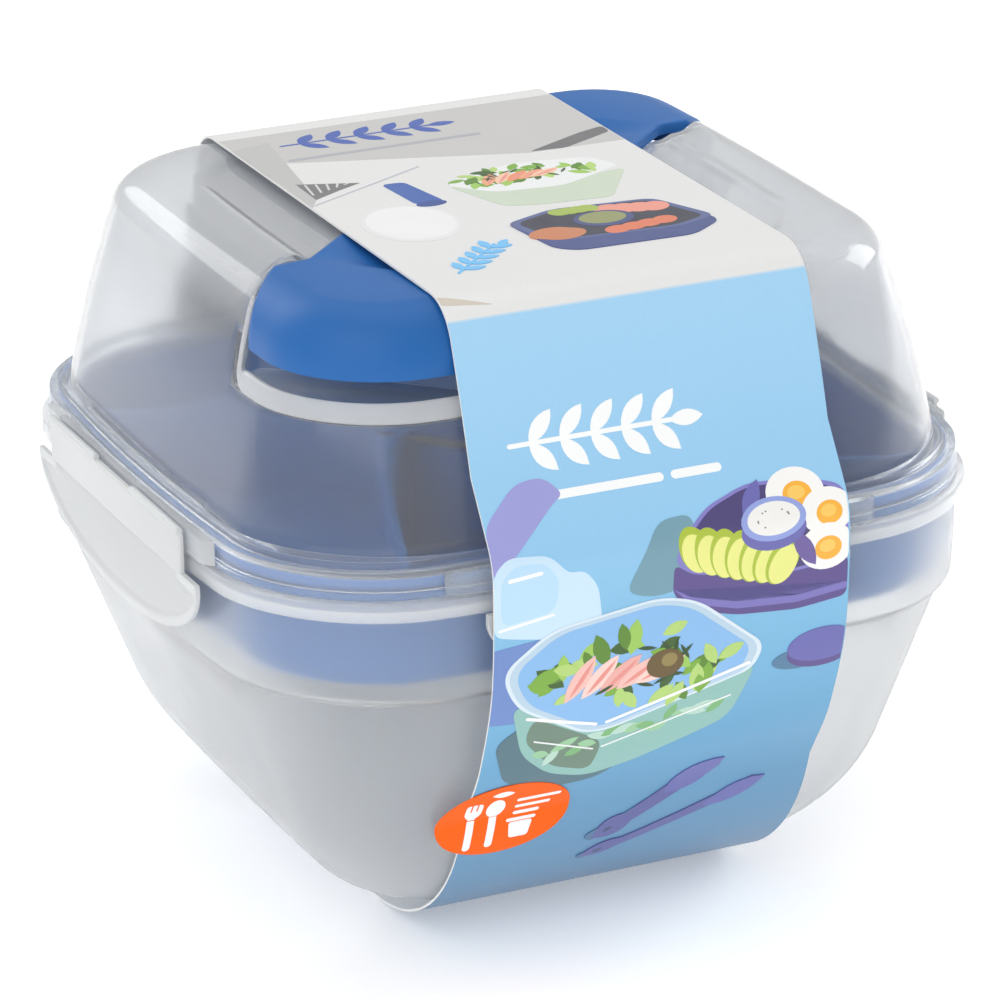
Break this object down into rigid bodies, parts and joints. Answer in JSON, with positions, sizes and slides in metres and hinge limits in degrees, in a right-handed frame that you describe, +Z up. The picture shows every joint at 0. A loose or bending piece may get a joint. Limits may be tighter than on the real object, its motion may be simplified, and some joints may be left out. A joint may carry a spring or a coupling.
{
  "type": "snap lid food container",
  "caption": "Square food container with a domed snap lid, inner tray with sauce cup, cutlery stored under a strip across the lid, and a card sleeve.",
  "frame": {"origin": "centre of the sleeve's underside, on the surface the container stands on", "axes": "+Z up, -Y towards the printed front, +X to the right of it"},
  "size_m": [0.1764, 0.1782, 0.1487],
  "materials": {
    "frosted_plastic": "frosted clear, fine satin",
    "clear_plastic": "clear with a light haze",
    "latch_plastic": "milky, satin",
    "blue_plastic": "satin moulded",
    "blue_seal": "soft satin",
    "printed_card": "coated card, semi-gloss",
    "sticker_film": "semi-gloss film"
  },
  "bodies": {
    "bowl": {"bowl": "frosted_plastic"},
    "sleeve": {"sleeve": "printed_card", "sticker": "sticker_film"},
    "lid": {"lid": "clear_plastic", "lid_gasket": "blue_seal"},
    "latch_right": {"latch_right": "latch_plastic"},
    "latch_back": {"latch_back": "latch_plastic"},
    "latch_left": {"latch_left": "latch_plastic"},
    "latch_front": {"latch_front": "latch_plastic"},
    "tray": {"tray": "blue_plastic"},
    "sauce_cup": {"sauce_cup": "frosted_plastic"},
    "sauce_cup_lid": {"sauce_cup_lid": "blue_plastic"},
    "cutlery_cover": {"cutlery_cover": "blue_plastic"},
    "fork": {"fork": "blue_plastic"},
    "knife": {"knife": "blue_plastic"}
  },
  "joints": [
    {"name": "lid_lift", "type": "slide", "parent": "bowl", "child": "lid", "axis": [0, 0, 1], "range_m": [0, 0.1]},
    {"name": "latch_right_hinge", "type": "hinge", "parent": "lid", "child": "latch_right", "pos_m": [0.08735, 0, 0.098], "axis": [0, -1, 0], "range_deg": [0, 150]},
    {"name": "latch_left_hinge", "type": "hinge", "parent": "lid", "child": "latch_left", "pos_m": [-0.08735, 0, 0.098], "axis": [0, 1, 0], "range_deg": [0, 150]},
    {"name": "latch_front_hinge", "type": "hinge", "parent": "lid", "child": "latch_front", "pos_m": [0, -0.08735, 0.098], "axis": [-1, 0, 0], "range_deg": [0, 150]},
    {"name": "latch_back_hinge", "type": "hinge", "parent": "lid", "child": "latch_back", "pos_m": [0, 0.08735, 0.098], "axis": [1, 0, 0], "range_deg": [0, 150]},
    {"name": "sleeve_slide", "type": "slide", "parent": "bowl", "child": "sleeve", "axis": [1, 0, 0], "range_m": [0, 0.15], "deforming": ["sleeve"]},
    {"name": "tray_lift", "type": "slide", "parent": "bowl", "child": "tray", "axis": [0, 0, 1], "range_m": [0, 0.045]},
    {"name": "sauce_cup_lift", "type": "slide", "parent": "tray", "child": "sauce_cup", "axis": [0, 0, 1], "range_m": [0, 0.03]},
    {"name": "sauce_cup_lid_lift", "type": "slide", "parent": "sauce_cup", "child": "sauce_cup_lid", "axis": [0, 0, 1], "range_m": [0, 0.012]},
    {"name": "cutlery_cover_lift", "type": "slide", "parent": "lid", "child": "cutlery_cover", "axis": [0, 0, 1], "range_m": [0, 0.035]},
    {"name": "fork_lift", "type": "slide", "parent": "lid", "child": "fork", "axis": [0, 0, 1], "range_m": [0, 0.015]},
    {"name": "knife_lift", "type": "slide", "parent": "lid", "child": "knife", "axis": [0, 0, 1], "range_m": [0, 0.015]}
  ],
  "couplings": [
    {"joint": "latch_front_hinge", "follows": "lid_lift", "rad_per_m": 26},
    {"joint": "latch_back_hinge", "follows": "lid_lift", "rad_per_m": 26},
    {"joint": "sleeve_slide", "follows": "lid_lift", "ratio": 1.5},
    {"joint": "tray_lift", "follows": "lid_lift", "ratio": 0.45},
    {"joint": "sauce_cup_lift", "follows": "lid_lift", "ratio": 0.3},
    {"joint": "sauce_cup_lid_lift", "follows": "lid_lift", "ratio": 0.12},
    {"joint": "cutlery_cover_lift", "follows": "lid_lift", "ratio": 0.35},
    {"joint": "fork_lift", "follows": "lid_lift", "ratio": 0.15},
    {"joint": "knife_lift", "follows": "lid_lift", "ratio": 0.15}
  ]
}
